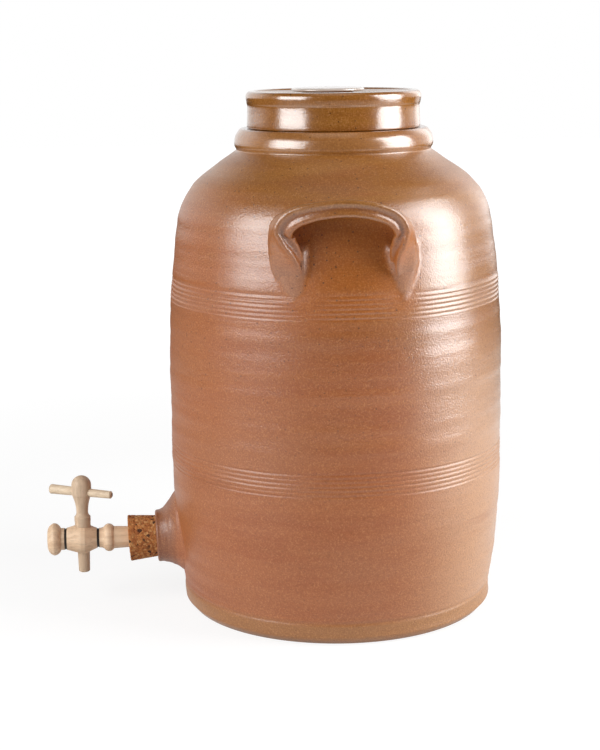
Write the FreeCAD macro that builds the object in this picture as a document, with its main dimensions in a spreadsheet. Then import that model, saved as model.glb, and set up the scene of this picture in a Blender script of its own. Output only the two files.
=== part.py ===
"""Lidded stoneware water jug with two ear handles and a turned wooden tap, in millimetres.

The origin is the centre of the flat base, +Z is up and the tap points along -X.
Every driving size is a cell of the sheet "sizes"; the sub-parts take their sizes from it.
"""
import FreeCAD, Part
import math
import os
import re
import Sketcher

Vector = FreeCAD.Vector

# Driving sizes: alias, value (mm or degrees), what it is.
SIZES = [
    ("belly_radius", 140.7, "widest part, outside"),
    ("belly_low", 120.0, "height where the belly becomes upright"),
    ("belly_upright", 85.0, "upright part of the belly"),
    ("upper_rise", 125.0, "from there to where the shoulder starts to turn"),
    ("upper_lean", 9.4, "how far the wall leans in over that rise"),
    ("shoulder_round", 59.0, "radius of the shoulder's turn"),
    ("shoulder_rise", 57.5, "from the start of the turn to the foot of the collar"),
    ("foot_inset", 8.4, "foot band inside the belly"),
    ("foot_rise", 7.5, "top of the rounded bottom edge"),
    ("foot_round", 7.5, "radius of the bottom edge"),
    ("foot_line", 18.0, "height of the turned line over the foot"),
    ("foot_line_half", 1.8, "half width of the foot line"),
    ("foot_line_depth", 0.9, "depth of the foot line"),
    ("base_inset", 5.8, "flat that the jug stands on, inside the foot band"),
    ("neck_radius", 68.0, "mouth of the jug, inside"),
    ("collar_thickness", 13.0, "foot of the collar, outside the neck"),
    ("collar_step", 3.0, "upright part under the collar's bead"),
    ("collar_rise", 17.7, "foot of the collar to the ledge that carries the lid"),
    ("collar_round", 9.7, "radius of the collar's bead"),
    ("ledge_width", 10.6, "ledge, from the neck to the outside"),
    ("ledge_chamfer", 1.2, "softened edge of the ledge"),
    ("wall", 8.5, "thickness of the thrown wall"),
    ("floor", 11.0, "thickness of the bottom"),
    ("inner_corner", 14.0, "radius between wall and bottom, inside"),
    ("comb_pitch", 3.6, "spacing of the combed lines"),
    ("comb_width", 2.5, "width of one combed line"),
    ("comb_depth", 0.55, "depth of one combed line"),
    ("comb_low", 134.9, "middle of the lower combed band"),
    ("comb_drop", 54.6, "middle of the upper combed band under the shoulder's turn"),
    ("ear_turn", 3.0, "both ears, from the Y axis towards the tap, degrees"),
    ("ear_spread", 18.2, "leg of an ear from its middle, degrees round the jug"),
    ("ear_spring_stand", 14.7, "strap's middle off the upper wall, where the arch starts"),
    ("ear_spring_drop", 1.0, "start of the arch under the shoulder's turn"),
    ("ear_crown_stand", 19.7, "strap's middle off the upper wall, at the top of the arch"),
    ("ear_crown_rise", 23.3, "strap's middle at the top, over the shoulder's turn"),
    ("ear_root_drop", 29.0, "place where a leg is pressed on, under the shoulder's turn"),
    ("ear_tail_drop", 54.0, "end of the smeared tail, under the shoulder's turn"),
    ("ear_breadth", 23.0, "strap, front to back"),
    ("ear_thickness", 12.0, "strap, top to underside"),
    ("ear_root_breadth", 29.0, "strap where it is pressed on"),
    ("tap_height", 57.6, "axis of the tap above the base"),
    ("boss_droop", 3.0, "boss and cork, down from level, degrees"),
    ("boss_stand", 15.8, "face of the boss outside the belly"),
    ("boss_rim", 4.6, "clay round the cork at the face of the boss"),
    ("boss_lip", 5.0, "straight rim of the boss"),
    ("boss_bed", 8.7, "start of the boss inside the belly"),
    ("boss_spread", 13.6, "flare of the boss outside its rim, where it meets the wall"),
    ("boss_flare", 34.0, "radius of the boss's hollow flare"),
    ("boss_edge", 1.5, "rounded edge of the boss"),
    ("cork_stand", 23.7, "outer face of the cork outside the boss"),
    ("cork_length", 40.0, "whole cork"),
    ("cork_radius", 19.8, "cork at its outer face"),
    ("cork_taper", 3.4, "how much the cork narrows inwards"),
    ("cork_edge", 0.8, "softened edge of the cork"),
    ("cork_clearance", 0.05, "between cork and boss, and cork and shank"),
    ("shank_inside", 56.2, "inner end of the tap behind the cork's outer face"),
    ("shank_show", 13.1, "shank between the cork and the bead"),
    ("shank_radius", 9.6, "shank where it leaves the bead"),
    ("shank_taper", 3.1, "how much the shank narrows inwards"),
    ("bead_rise", 3.7, "back of the bead to its crest"),
    ("bead_fall", 4.6, "crest of the bead to the foot of its front slope"),
    ("bead_radius", 11.9, "bead, outside"),
    ("bead_round", 4.6, "radius of the bead's crest"),
    ("cove_round", 6.0, "radius of the hollow in front of the bead"),
    ("neck_length", 4.3, "hollow in front of the bead"),
    ("tap_neck_radius", 8.5, "barrel at the rear ring"),
    ("ring_width", 1.6, "scorched ring"),
    ("ring_depth", 0.5, "scorched ring"),
    ("key_reach", 13.7, "axis of the key in front of the rear ring"),
    ("barrel_radius", 13.1, "barrel round the key"),
    ("barrel_band", 1.7, "half width of the band round the barrel"),
    ("nose_reach", 14.1, "front ring in front of the key's axis"),
    ("nose_radius", 9.4, "barrel at the front ring"),
    ("nose_length", 4.9, "front ring to the end knob"),
    ("knob_rise", 5.8, "back of the end knob to its crest"),
    ("knob_fall", 5.5, "crest of the end knob to the tap's outer end"),
    ("knob_round", 6.4, "radius of the end knob's back"),
    ("knob_face_round", 7.5, "radius of the end knob's front"),
    ("knob_radius", 13.9, "end knob, outside"),
    ("tap_end_radius", 6.0, "flat of the outer end"),
    ("water_bore", 2.7, "radius of the water way in the barrel"),
    ("seat_entry_depth", 2.4, "depth of the rough countersink round the key"),
    ("seat_entry_width", 1.6, "countersink outside the plug"),
    ("plug_proud", 0.3, "wide end of the plug above the barrel"),
    ("plug_top_radius", 6.7, "plug at its wide end"),
    ("plug_tip", 0.5, "narrow end of the plug below the barrel"),
    ("plug_taper", 1.5, "how much the plug narrows downwards"),
    ("plug_clearance", 0.06, "running clearance of the plug in its seat"),
    ("spout_length", 16.3, "end of the spout below the barrel"),
    ("spout_step", 0.4, "how much the spout is narrower than the plug's tip"),
    ("spout_bore", 2.4, "radius of the water way in the key"),
    ("spout_edge", 0.7, "softened edges of the key"),
    ("key_bead_lift", 1.9, "underside of the key's bead above the barrel"),
    ("key_bead_rise", 4.6, "thickness of the key's bead"),
    ("key_bead_width", 0.2, "key's bead outside the plug"),
    ("key_waist_rise", 4.2, "top of the bead to the waist"),
    ("key_waist_radius", 5.0, "key's waist, outside"),
    ("key_cove_round", 5.5, "hollow between the key's bead and waist"),
    ("key_throat_rise", 15.0, "waist to the underside of the head"),
    ("key_throat_round", 40.0, "hollow between the key's waist and head"),
    ("key_head_rise", 8.7, "underside of the head to the start of its dome"),
    ("key_head_radius", 8.4, "key's head, outside"),
    ("key_line_depth", 0.3, "fine line under the key's head"),
    ("key_dome_rise", 8.4, "dome of the head"),
    ("key_turn", 27.0, "key and its handle, from the tap's axis towards the front, degrees"),
    ("handle_rise", 2.6, "handle above the underside of the head"),
    ("handle_thick_end", 30.2, "thick end of the handle from the key's axis"),
    ("handle_thin_end", 29.0, "thin end of the handle from the key's axis"),
    ("handle_thick_radius", 4.15, "thick end of the handle"),
    ("handle_thin_radius", 3.2, "thin end of the handle"),
    ("handle_edge", 0.8, "softened ends of the handle"),
    ("handle_clearance", 0.03, "between the handle and its hole"),
    ("lid_stand", 4.0, "wall of the lid outside the neck"),
    ("lid_step_rise", 15.8, "turned line of the lid above the ledge"),
    ("lid_step_depth", 0.9, "depth of the turned line"),
    ("lid_roll_rise", 14.8, "turned line to the top of the rolled rim"),
    ("lid_roll_stand", 0.8, "rolled rim outside the lid's wall"),
    ("lid_roll_round", 6.4, "radius of the rolled rim"),
    ("lid_crest_inset", 4.5, "crest of the rim inside the lid's wall"),
    ("lid_dish", 4.8, "depth of the lid's dished top"),
    ("lid_plate", 7.5, "thickness of the lid's top"),
    ("lid_wall", 6.8, "thickness of the lid's locating ring"),
    ("lid_reach", 12.2, "locating ring below the ledge"),
    ("lid_clearance", 1.2, "between the locating ring and the jug's mouth"),
    ("grip_offset", 4.5, "knob of the lid off centre, towards the tap"),
    ("grip_radius", 30.2, "knob of the lid, outside"),
    ("grip_stem_radius", 22.0, "stem of the lid's knob"),
    ("grip_stand", 3.9, "underside of the lid's knob above the dish"),
    ("grip_thickness", 3.5, "knob of the lid"),
    ("grip_edge", 1.4, "rounded edge of the lid's knob"),
]

COMB_TEETH = 6
MATH_WORDS = ("sqrt",)

# Half of the strap's section, from the wall side over the top to the hollow in its front edge,
# as shares of half the breadth and half the thickness. The underside mirrors it.
STRAP_HALF = ((-1.0, 0.0), (-0.93, 0.5), (-0.72, 0.8), (0.0, 0.84), (0.62, 0.92), (0.88, 1.0),
              (1.0, 0.68), (0.9, 0.0))

# Places that follow from the driving sizes, as formulas of the sheet.
BELLY_HIGH = "(belly_low + belly_upright)"
SHOULDER = "(belly_low + belly_upright + upper_rise)"
SHOULDER_RADIUS = "(belly_radius - upper_lean)"
FOOT_RADIUS = "(belly_radius - foot_inset)"
COLLAR_ROOT = "(%s + shoulder_rise)" % SHOULDER
COLLAR_RADIUS = "(neck_radius + collar_thickness)"
LEDGE = "(%s + collar_rise)" % COLLAR_ROOT
LEDGE_RADIUS = "(neck_radius + ledge_width)"
LID_RADIUS = "(neck_radius + lid_stand)"
LID_STEP = "(%s + lid_step_rise)" % LEDGE
LID_CREST = "(%s + lid_roll_rise)" % LID_STEP
LID_DISH = "(%s - lid_dish)" % LID_CREST
GRIP_LOW = "(%s + grip_stand)" % LID_DISH
BOSS_MOUTH = "(belly_radius + boss_stand)"
BOSS_LENGTH = "(boss_stand + boss_bed)"
CORK_FACE = "(%s + cork_stand)" % BOSS_MOUTH
MOUTH_RADIUS = "(cork_radius - cork_taper * cork_stand / cork_length)"
BOSS_RADIUS = "(%s + boss_rim)" % MOUTH_RADIUS
SHANK_TIP = "(%s - shank_inside)" % CORK_FACE
TIP_RADIUS = "(shank_radius - shank_taper)"
BEAD_BACK = "(%s + shank_show)" % CORK_FACE
BEAD_CREST = "(%s + bead_rise)" % BEAD_BACK
BEAD_FRONT = "(%s + bead_fall)" % BEAD_CREST
REAR_RING = "(%s + neck_length)" % BEAD_FRONT
KEY_AXIS = "(%s + key_reach)" % REAR_RING
FRONT_RING = "(%s + nose_reach)" % KEY_AXIS
KNOB_BACK = "(%s + nose_length)" % FRONT_RING
KNOB_CREST = "(%s + knob_rise)" % KNOB_BACK
TAP_END = "(%s + knob_fall)" % KNOB_CREST
PLUG_TOP = "(barrel_radius + plug_proud)"
PLUG_BOTTOM = "(barrel_radius + plug_tip)"
PLUG_TIP_RADIUS = "(plug_top_radius - plug_taper)"
SEAT_ENTRY = "(plug_top_radius + seat_entry_width)"
SPOUT_END = "(barrel_radius + spout_length)"
SPOUT_RADIUS = "(%s - spout_step)" % PLUG_TIP_RADIUS
KEY_BEAD = "(barrel_radius + key_bead_lift)"
KEY_BEAD_RADIUS = "(plug_top_radius + key_bead_width)"
KEY_BEAD_TOP = "(%s + key_bead_rise)" % KEY_BEAD
KEY_WAIST = "(%s + key_waist_rise)" % KEY_BEAD_TOP
KEY_HEAD = "(%s + key_throat_rise)" % KEY_WAIST
KEY_DOME = "(%s + key_head_rise)" % KEY_HEAD

# Radii of arcs that leave one end upright, from the two ends they join.
LOW_ARC = ("(((belly_low - foot_line - foot_line_half)^2 + foot_inset^2)"
           " / (2 * foot_inset))")
HIGH_ARC = "((upper_rise^2 + upper_lean^2) / (2 * upper_lean))"
# Radius of the key's dome, whose centre lies on the key's axis.
DOME_RADIUS = "((key_head_radius^2 + key_dome_rise^2) / (2 * key_dome_rise))"

doc = FreeCAD.newDocument("water_jug")


def make_sheet():
    """Write every driving size to its own cell, with its name as the alias."""
    table = doc.addObject("Spreadsheet::Sheet", "sizes")
    for row, (alias, size, note) in enumerate(SIZES, start=1):
        table.set("A%d" % row, alias)
        table.set("B%d" % row, str(size))
        table.setAlias("B%d" % row, alias)
        table.set("C%d" % row, note)
    doc.recompute()
    return table


sheet = make_sheet()
probe = doc.addObject("Spreadsheet::Sheet", "probe")


def linked(formula):
    """A formula in size names, as an expression that reads the sheet."""
    def name(match):
        word = match.group(0)
        return word if word in MATH_WORDS else "sizes." + word
    return re.sub(r"[a-z][a-z_]+", name, formula)


def value(formula):
    """The formula's number, worked out in a spare cell."""
    probe.set("A1", "=" + linked(formula))
    probe.recompute()
    return float(probe.get("A1"))


def new_body(name):
    """A PartDesign body whose label names its file."""
    body = doc.addObject("PartDesign::Body", name)
    body.Label = name
    return body


def new_sketch(body, name, plane):
    """A sketch on one of the body's own origin planes."""
    sketch = body.newObject("Sketcher::SketchObject", name)
    support = [item for item in body.Origin.OriginFeatures if item.Role == plane][0]
    sketch.AttachmentSupport = (support, "")
    sketch.MapMode = "FlatFace"
    return sketch


def arc_between(start, end, radius, side):
    """The shorter arc from start to end; it bulges to the right of the way, or left if side is -1."""
    chord = end - start
    half = chord.Length / 2
    rise = math.sqrt(max(radius * radius - half * half, 0.0))
    left = Vector(-chord.y, chord.x, 0) / chord.Length
    centre = (start + end) / 2 + left * rise * side
    if side < 0:
        start, end = end, start
    first = math.atan2(start.y - centre.y, start.x - centre.x)
    last = math.atan2(end.y - centre.y, end.x - centre.x)
    if last < first:
        last += 2 * math.pi
    arc = Part.ArcOfCircle(Part.Circle(centre, Vector(0, 0, 1), radius), first, last)
    return (arc, 1, 2) if side > 0 else (arc, 2, 1)


def bind(sketch, index, formula):
    """Name a constraint and let the sheet drive it."""
    name = "size_%d" % index
    sketch.renameConstraint(index, name)
    sketch.setExpression("Constraints." + name, linked(formula))


def pin(sketch, edge, end, axis, formula):
    """Fix one coordinate of an edge's end to a formula of the sheet."""
    number = value(formula)
    if abs(number) < 1e-9:
        line = -2 if axis == "X" else -1
        sketch.addConstraint(Sketcher.Constraint("PointOnObject", edge, end, line))
    elif number > 0:
        limit = Sketcher.Constraint("Distance" + axis, -1, 1, edge, end, number)
        bind(sketch, sketch.addConstraint(limit), formula)
    else:
        limit = Sketcher.Constraint("Distance" + axis, edge, end, -1, 1, -number)
        bind(sketch, sketch.addConstraint(limit), "-(%s)" % formula)


def outline(sketch, corners):
    """Draw a closed outline through corners (x, y), with the inside on the left of the way.

    (x, y, radius, side) starts an arc. A corner that ends with "smooth" joins its two edges
    tangentially, and one that ends with "free" also finds its own place near x, y.
    """
    spots = [Vector(value(corner[0]), value(corner[1]), 0) for corner in corners]
    edges = []
    for number, corner in enumerate(corners):
        start = spots[number]
        end = spots[(number + 1) % len(corners)]
        if len(corner) > 3:
            curve, first, last = arc_between(start, end, value(corner[2]), corner[3])
        else:
            curve, first, last = Part.LineSegment(start, end), 1, 2
        edges.append((sketch.addGeometry(curve, False), first, last))
    for number, corner in enumerate(corners):
        edge, first, _ = edges[number]
        before, _, end_before = edges[number - 1]
        kind = "Tangent" if corner[-1] in ("smooth", "free") else "Coincident"
        sketch.addConstraint(Sketcher.Constraint(kind, before, end_before, edge, first))
        if corner[-1] != "free":
            pin(sketch, edge, first, "X", corner[0])
            pin(sketch, edge, first, "Y", corner[1])
        if len(corner) > 3:
            limit = Sketcher.Constraint("Radius", edge, value(corner[2]))
            bind(sketch, sketch.addConstraint(limit), corner[2])
    if sketch.solve() != 0:
        raise RuntimeError("the outline of %s has no solution" % sketch.Name)


def turned(name, corners, axis="V_Axis"):
    """A body turned round its own upright (V_Axis) or level (H_Axis) axis."""
    body = new_body(name)
    sketch = new_sketch(body, name + "_outline", "XZ_Plane")
    outline(sketch, corners)
    turn = body.newObject("PartDesign::Revolution", name + "_turn")
    turn.Profile = sketch
    turn.ReferenceAxis = (sketch, [axis])
    turn.Angle = 360
    sketch.Visibility = False
    doc.recompute()
    return body


def placed(item, shift, axis=Vector(0, 0, 1), angle="0"):
    """Bind an object's place to the sheet: three formulas, and a turn in degrees about an axis."""
    item.Placement = FreeCAD.Placement(Vector(0, 0, 0), FreeCAD.Rotation(axis, value(angle)))
    for letter, formula in zip("xyz", shift):
        item.setExpression("Placement.Base." + letter, linked(formula))
    if value(angle):
        item.setExpression("Placement.Rotation.Angle", linked(angle))
    return item


def united(name, pieces):
    """One solid from several."""
    fused = doc.addObject("Part::MultiFuse", name)
    fused.Shapes = pieces
    fused.Label = name
    doc.recompute()
    return fused


def without(name, base, tool):
    """The base with the tool cut out of it."""
    cut = doc.addObject("Part::Cut", name)
    cut.Base = base
    cut.Tool = tool
    cut.Label = name
    doc.recompute()
    if cut.Shape.Volume > base.Shape.Volume - 1e-3:
        raise RuntimeError("nothing was cut out of " + name)
    return cut


def thrown_pot():
    """The hollow pot: foot band, belly, shoulder, collar with its ledge, and an even wall."""
    turn_x = SHOULDER_RADIUS + " - 0.39 * shoulder_round"
    turn_y = SHOULDER + " + 0.63 * shoulder_round"
    return turned("pot", [
        ("0", "0"),
        (FOOT_RADIUS + " - base_inset", "0", "foot_round", 1),
        (FOOT_RADIUS, "foot_rise"),
        (FOOT_RADIUS, "foot_line - foot_line_half"),
        (FOOT_RADIUS + " - foot_line_depth", "foot_line"),
        (FOOT_RADIUS, "foot_line + foot_line_half", LOW_ARC, 1),
        ("belly_radius", "belly_low"),
        ("belly_radius", BELLY_HIGH, HIGH_ARC, 1),
        (SHOULDER_RADIUS, SHOULDER, "shoulder_round", 1, "smooth"),
        (turn_x, turn_y, "free"),
        (COLLAR_RADIUS, COLLAR_ROOT),
        (COLLAR_RADIUS, COLLAR_ROOT + " + collar_step", "collar_round", 1),
        (LEDGE_RADIUS, LEDGE + " - ledge_chamfer"),
        (LEDGE_RADIUS + " - ledge_chamfer", LEDGE),
        ("neck_radius", LEDGE),
        ("neck_radius", COLLAR_ROOT + " - 0.13 * wall"),
        (turn_x + " - 0.58 * wall", turn_y + " - 0.8 * wall", "shoulder_round - wall", -1, "free"),
        (SHOULDER_RADIUS + " - wall", SHOULDER + " - 0.15 * wall", HIGH_ARC + " - wall", -1, "smooth"),
        ("belly_radius - wall", BELLY_HIGH),
        ("belly_radius - wall", "belly_low", LOW_ARC + " - wall", -1),
        (FOOT_RADIUS + " - wall", "floor + inner_corner"),
        (FOOT_RADIUS + " - wall - 0.3 * inner_corner", "floor + 0.3 * inner_corner"),
        (FOOT_RADIUS + " - wall - inner_corner", "floor"),
        ("0", "floor"),
    ])


def wall_at(height):
    """Outside radius of the leaning upper wall at a height."""
    return "(belly_radius - %s + sqrt(%s^2 - (%s - %s)^2))" % (HIGH_ARC, HIGH_ARC, height, BELLY_HIGH)


def comb(pot, name, middle, leaning):
    """Cut a band of combed lines into the pot's wall."""
    sketch = new_sketch(pot, name + "_teeth", "XZ_Plane")
    for tooth in range(COMB_TEETH):
        height = "(%s + %.1f * comb_pitch)" % (middle, tooth - (COMB_TEETH - 1) / 2)
        radius = wall_at(height) if leaning else "belly_radius"
        outline(sketch, [
            (radius + " - comb_depth", height),
            (radius + " + comb_depth", height + " - comb_width"),
            (radius + " + comb_depth", height + " + comb_width"),
        ])
    groove = pot.newObject("PartDesign::Groove", name)
    groove.Profile = sketch
    groove.ReferenceAxis = (sketch, ["V_Axis"])
    groove.Angle = 360
    before = pot.Shape.Volume
    pot.Tip = groove
    doc.recompute()
    if pot.Shape.Volume > before - 1:
        raise RuntimeError(name + " cut nothing")


def strap_ring(centre, across, through, breadth, thickness):
    """Points round the strap's section, closed on its first point."""
    under = [(side, -rise) for side, rise in reversed(STRAP_HALF[1:-1])]
    points = []
    for side, rise in list(STRAP_HALF) + under:
        points.append(centre + across * (side * breadth / 2) + through * (rise * thickness / 2))
    return points + points[:1]


def skinned(rings):
    """A solid with one smooth skin over the rings and a flat cap at each end."""
    skin = Part.BSplineSurface()
    skin.interpolate(rings)
    faces = [skin.toShape()]
    for end in skin.bounds()[:2]:
        faces.append(Part.Face(Part.Wire([skin.uIso(end).toShape()])))
    closed = Part.Compound(faces)
    closed.sewShape()
    solid = Part.Solid(closed.Shells[0])
    if solid.Volume < 0:
        solid.reverse()
    return solid


def strap_stations():
    """Half of an ear, from the crown to the tail.

    Each station is (degrees round the jug, radius, height, breadth, thickness, twist); the twist
    turns the strap from edge-on at the crown to flat against the wall at the root.
    """
    spread = value("ear_spread")
    breadth = value("ear_breadth")
    thickness = value("ear_thickness")
    wide = value("ear_root_breadth")
    stand = value(SHOULDER_RADIUS + " + ear_spring_stand")
    crown_stand = value(SHOULDER_RADIUS + " + ear_crown_stand")
    spring = value(SHOULDER + " - ear_spring_drop")
    crown = value(SHOULDER + " + ear_crown_rise")
    root = value(SHOULDER + " - ear_root_drop")
    tail = value(SHOULDER + " - ear_tail_drop")
    lip = value(wall_at("(%s - ear_root_drop)" % SHOULDER)) + thickness / 12
    sunk = value(wall_at("(%s - ear_tail_drop)" % SHOULDER) + " - wall / 2")
    stations = []
    for step in range(4):
        swing = math.radians(90 * step / 4)
        radius = stand + (crown_stand - stand) * math.cos(swing)
        height = spring + (crown - spring) * math.cos(swing)
        twist = 45 * (1 - math.cos(swing))
        stations.append((spread * math.sin(swing), radius, height, breadth, thickness, twist))
    stations.append((spread, stand, spring, breadth, 1.12 * thickness, 46))
    stations.append((spread, (stand + lip) / 2, (spring + root) / 2,
                     (breadth + wide) / 2, 1.12 * thickness, 75))
    stations.append((spread, lip, root, wide, 1.04 * thickness, 90))
    stations.append((spread, lip - thickness / 6, (root + tail) / 2, 0.8 * wide, 0.6 * thickness, 90))
    stations.append((spread, sunk, tail, 0.5 * wide, 0.35 * thickness, 90))
    return stations


def pulled_ear(name, axis, turn):
    """A strap pulled from the root on one side, over the crown, to the root on the other."""
    half = strap_stations()
    stations = [(-s[0],) + s[1:] for s in reversed(half[1:])] + half
    middles = []
    for degrees, radius, height, *_ in stations:
        angle = math.radians(degrees)
        middles.append(Vector(radius * math.sin(angle), radius * math.cos(angle), height))
    rings = []
    for number, station in enumerate(stations):
        after = middles[min(number + 1, len(middles) - 1)]
        along = (after - middles[max(number - 1, 0)]).normalize()
        angle = math.radians(station[0])
        outward = Vector(math.sin(angle), math.cos(angle), 0)
        sideways = Vector(math.cos(angle), -math.sin(angle), 0)
        twist = math.radians(math.copysign(station[5], station[0]))
        across = outward * math.cos(twist) - sideways * math.sin(twist)
        across = (across - along * across.dot(along)).normalize()
        rings.append(strap_ring(middles[number], across, along.cross(across), *station[3:5]))
    ear = doc.addObject("Part::Feature", name)
    ear.Shape = skinned(rings)
    return placed(ear, ("0", "0", "0"), axis, turn)


def on_tap(item):
    """Place a piece drawn along the tap's axis."""
    return placed(item, ("0", "0", "tap_height"))


def at_mouth(item):
    """Place a piece drawn from the mouth of the boss inwards along +X, drooping with it."""
    return placed(item, ("-" + BOSS_MOUTH, "0", "tap_height"), Vector(0, -1, 0), "boss_droop")


def jar():
    """The pot with its combed bands, two ears and the boss for the tap, as one solid."""
    pot = thrown_pot()
    comb(pot, "low_band", "comb_low", False)
    comb(pot, "high_band", "(%s - comb_drop)" % SHOULDER, True)
    front_ear = pulled_ear("front_ear", Vector(0, 0, 1), "180 - ear_turn")
    back_ear = pulled_ear("back_ear", Vector(0, 0, -1), "ear_turn")
    boss = at_mouth(turned("boss", [
        ("0", "0"),
        (BOSS_LENGTH, "0"),
        (BOSS_LENGTH, BOSS_RADIUS + " + boss_spread", "boss_flare", -1),
        ("boss_lip", BOSS_RADIUS),
        ("boss_edge", BOSS_RADIUS, "boss_edge", 1),
        ("0", BOSS_RADIUS + " - boss_edge"),
    ], "H_Axis"))
    bore_radius = MOUTH_RADIUS + " + cork_clearance"
    bore = at_mouth(turned("boss_bore", [
        ("-boss_lip", "0"),
        ("2 * " + BOSS_LENGTH, "0"),
        ("2 * " + BOSS_LENGTH, bore_radius),
        ("-boss_lip", bore_radius),
    ], "H_Axis"))
    return without("jar", united("jar_solid", [pot, boss, front_ear, back_ear]), bore)


def cork():
    """The tapered sleeve that holds the tap in the boss."""
    end_radius = "(cork_radius - cork_taper)"
    plug = at_mouth(turned("cork_plug", [
        ("-cork_stand", "0"),
        ("cork_length - cork_stand", "0"),
        ("cork_length - cork_stand", end_radius + " - cork_edge"),
        ("cork_length - cork_edge - cork_stand", end_radius),
        ("cork_edge - cork_stand", "cork_radius"),
        ("-cork_stand", "cork_radius - cork_edge"),
    ], "H_Axis"))
    shank = on_tap(turned("shank_hole", [
        ("-" + BEAD_BACK, "0"),
        ("-" + SHANK_TIP, "0"),
        ("-" + SHANK_TIP, TIP_RADIUS + " + cork_clearance"),
        ("-" + BEAD_BACK, "shank_radius + cork_clearance"),
    ], "H_Axis"))
    return without("cork", plug, shank)


def tap_barrel():
    """The turned barrel: shank, bead, two scorched rings, banded belly and end knob."""
    barrel = on_tap(turned("barrel_turning", [
        ("-" + TAP_END, "0"),
        ("-" + SHANK_TIP, "0"),
        ("-" + SHANK_TIP, TIP_RADIUS),
        ("-" + BEAD_BACK, "shank_radius", "bead_round", 1),
        ("-" + BEAD_CREST, "bead_radius", "bead_round", 1),
        ("-" + BEAD_FRONT, "shank_radius", "cove_round", -1),
        ("-" + REAR_RING, "tap_neck_radius"),
        ("-" + REAR_RING, "tap_neck_radius - ring_depth"),
        ("-%s - ring_width" % REAR_RING, "tap_neck_radius - ring_depth"),
        ("-%s - ring_width" % REAR_RING, "tap_neck_radius"),
        ("-%s + barrel_band" % KEY_AXIS, "barrel_radius"),
        ("-%s - barrel_band" % KEY_AXIS, "barrel_radius"),
        ("-" + FRONT_RING, "nose_radius"),
        ("-" + FRONT_RING, "nose_radius - ring_depth"),
        ("-%s - ring_width" % FRONT_RING, "nose_radius - ring_depth"),
        ("-%s - ring_width" % FRONT_RING, "nose_radius"),
        ("-" + KNOB_BACK, "nose_radius", "knob_round", 1),
        ("-" + KNOB_CREST, "knob_radius", "knob_face_round", 1),
        ("-" + TAP_END, "tap_end_radius"),
    ], "H_Axis"))
    bore = on_tap(turned("barrel_bore", [
        ("-" + KEY_AXIS, "0"),
        ("-%s + spout_edge" % SHANK_TIP, "0"),
        ("-%s + spout_edge" % SHANK_TIP, "water_bore"),
        ("-" + KEY_AXIS, "water_bore"),
    ], "H_Axis"))
    seat = placed(turned("key_seat", [
        ("0", "-barrel_radius - ring_width"),
        (PLUG_TIP_RADIUS + " + plug_clearance", "-barrel_radius - ring_width"),
        (PLUG_TIP_RADIUS + " + plug_clearance", "-" + PLUG_BOTTOM),
        ("plug_top_radius + plug_clearance", PLUG_TOP + " - seat_entry_depth"),
        (SEAT_ENTRY, PLUG_TOP + " - 0.4 * seat_entry_depth"),
        (SEAT_ENTRY, "barrel_radius + ring_width"),
        ("0", "barrel_radius + ring_width"),
    ]), ("-" + KEY_AXIS, "0", "tap_height"))
    return without("tap_barrel", without("barrel_bored", barrel, bore), seat)


def on_key(item, lift="0"):
    """Place a piece drawn round the key's axis, turned with the key."""
    return placed(item, ("-" + KEY_AXIS, "0", "tap_height + " + lift), Vector(0, 0, -1), "key_turn")


def tapered_bar(name, gap, extra):
    """The handle's taper: wider all round by gap, and longer at both ends by extra."""
    return on_key(turned(name, [
        ("-handle_thick_end - " + extra, "0"),
        ("handle_thin_end + " + extra, "0"),
        ("handle_thin_end + " + extra, "handle_thin_radius + %s - handle_edge" % gap),
        ("handle_thin_end - handle_edge + " + extra, "handle_thin_radius + " + gap),
        ("-handle_thick_end + handle_edge - " + extra, "handle_thick_radius + " + gap),
        ("-handle_thick_end - " + extra, "handle_thick_radius + %s - handle_edge" % gap),
    ], "H_Axis"), KEY_HEAD + " + handle_rise")


def tap_key():
    """The key: domed head, waist, bead, tapered plug with its side port, and spout."""
    key = on_key(turned("key_turning", [
        ("0", "-" + SPOUT_END),
        (SPOUT_RADIUS + " - spout_edge", "-" + SPOUT_END),
        (SPOUT_RADIUS, "-%s + spout_edge" % SPOUT_END),
        (PLUG_TIP_RADIUS, "-" + PLUG_BOTTOM),
        ("plug_top_radius", PLUG_TOP + " - seat_entry_depth"),
        ("plug_top_radius", KEY_BEAD),
        (KEY_BEAD_RADIUS, KEY_BEAD + " + spout_edge"),
        (KEY_BEAD_RADIUS, KEY_BEAD_TOP, "key_cove_round", -1),
        ("key_waist_radius", KEY_WAIST, "key_throat_round", -1),
        ("key_head_radius - key_line_depth", KEY_HEAD),
        ("key_head_radius", KEY_HEAD + " + key_line_depth"),
        ("key_head_radius", KEY_DOME, DOME_RADIUS, 1),
        ("0", KEY_DOME + " + key_dome_rise"),
    ]))
    outlet = on_key(turned("key_outlet", [
        ("0", "-%s - spout_edge" % SPOUT_END),
        ("spout_bore", "-%s - spout_edge" % SPOUT_END),
        ("spout_bore", "spout_bore"),
        ("0", "2 * spout_bore"),
    ]))
    port = placed(turned("key_port", [
        ("0", "0"),
        ("2 * plug_top_radius", "0"),
        ("2 * plug_top_radius", "spout_bore"),
        ("0", "spout_bore"),
    ], "H_Axis"), ("-" + KEY_AXIS, "0", "tap_height"), Vector(0, 0, 1), "90 - key_turn")
    bored = without("key_bored", key, united("key_ways", [outlet, port]))
    return without("tap_key", bored, tapered_bar("handle_hole", "handle_clearance", "handle_edge"))


def tap_handle():
    """The tapered peg through the key's head."""
    return tapered_bar("tap_handle", "0", "0")


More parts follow.
